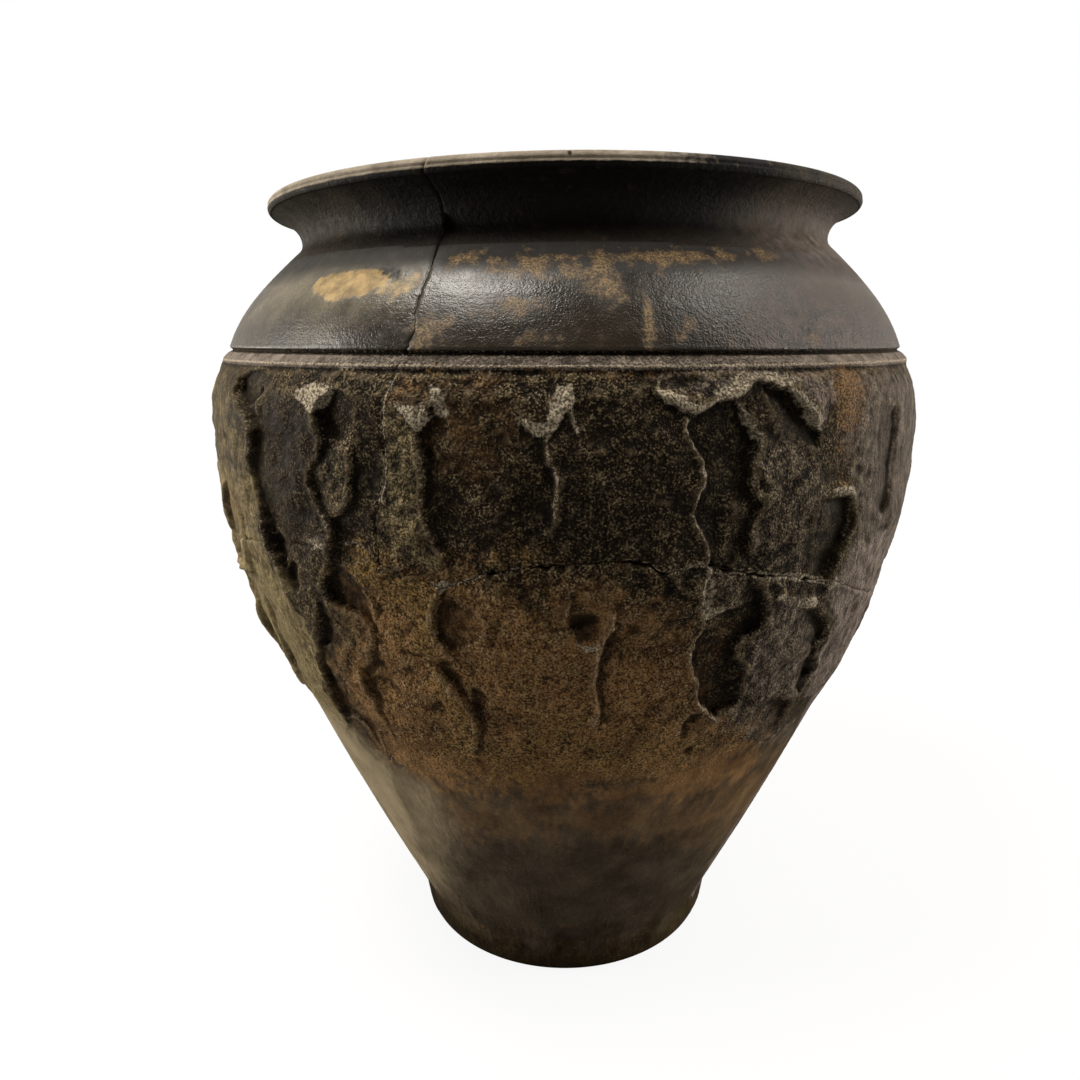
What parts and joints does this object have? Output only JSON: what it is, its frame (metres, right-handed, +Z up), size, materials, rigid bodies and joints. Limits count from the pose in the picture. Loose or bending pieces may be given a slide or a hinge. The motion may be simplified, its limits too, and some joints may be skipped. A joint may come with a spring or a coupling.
{
  "type": "rusticated ware jar",
  "caption": "Round-bellied pottery jar with a turned-out rim, a narrow flat foot and a rough draped slip coat below a raised cordon, broken and rejoined.",
  "frame": {"origin": "centre of the flat foot, on the surface that the jar rests on", "axes": "+Z up along the jar's axis, -Y towards the side that was pictured, +X to the right of that side"},
  "size_m": [0.1969, 0.1965, 0.2],
  "materials": {
    "burnished_fabric": "satin",
    "grey_slip": "matte",
    "brown_slip": "matte",
    "adhesive": "gloss"
  },
  "bodies": {
    "root": {"lower_body": "burnished_fabric", "lower_slip_coat": "brown_slip", "upper_right_sherd": "burnished_fabric", "upper_right_slip_coat": "grey_slip", "upper_left_sherd": "burnished_fabric", "upper_left_slip_coat": "grey_slip", "girth_adhesive": "adhesive", "front_adhesive": "adhesive", "back_adhesive": "adhesive"}
  },
  "joints": []
}
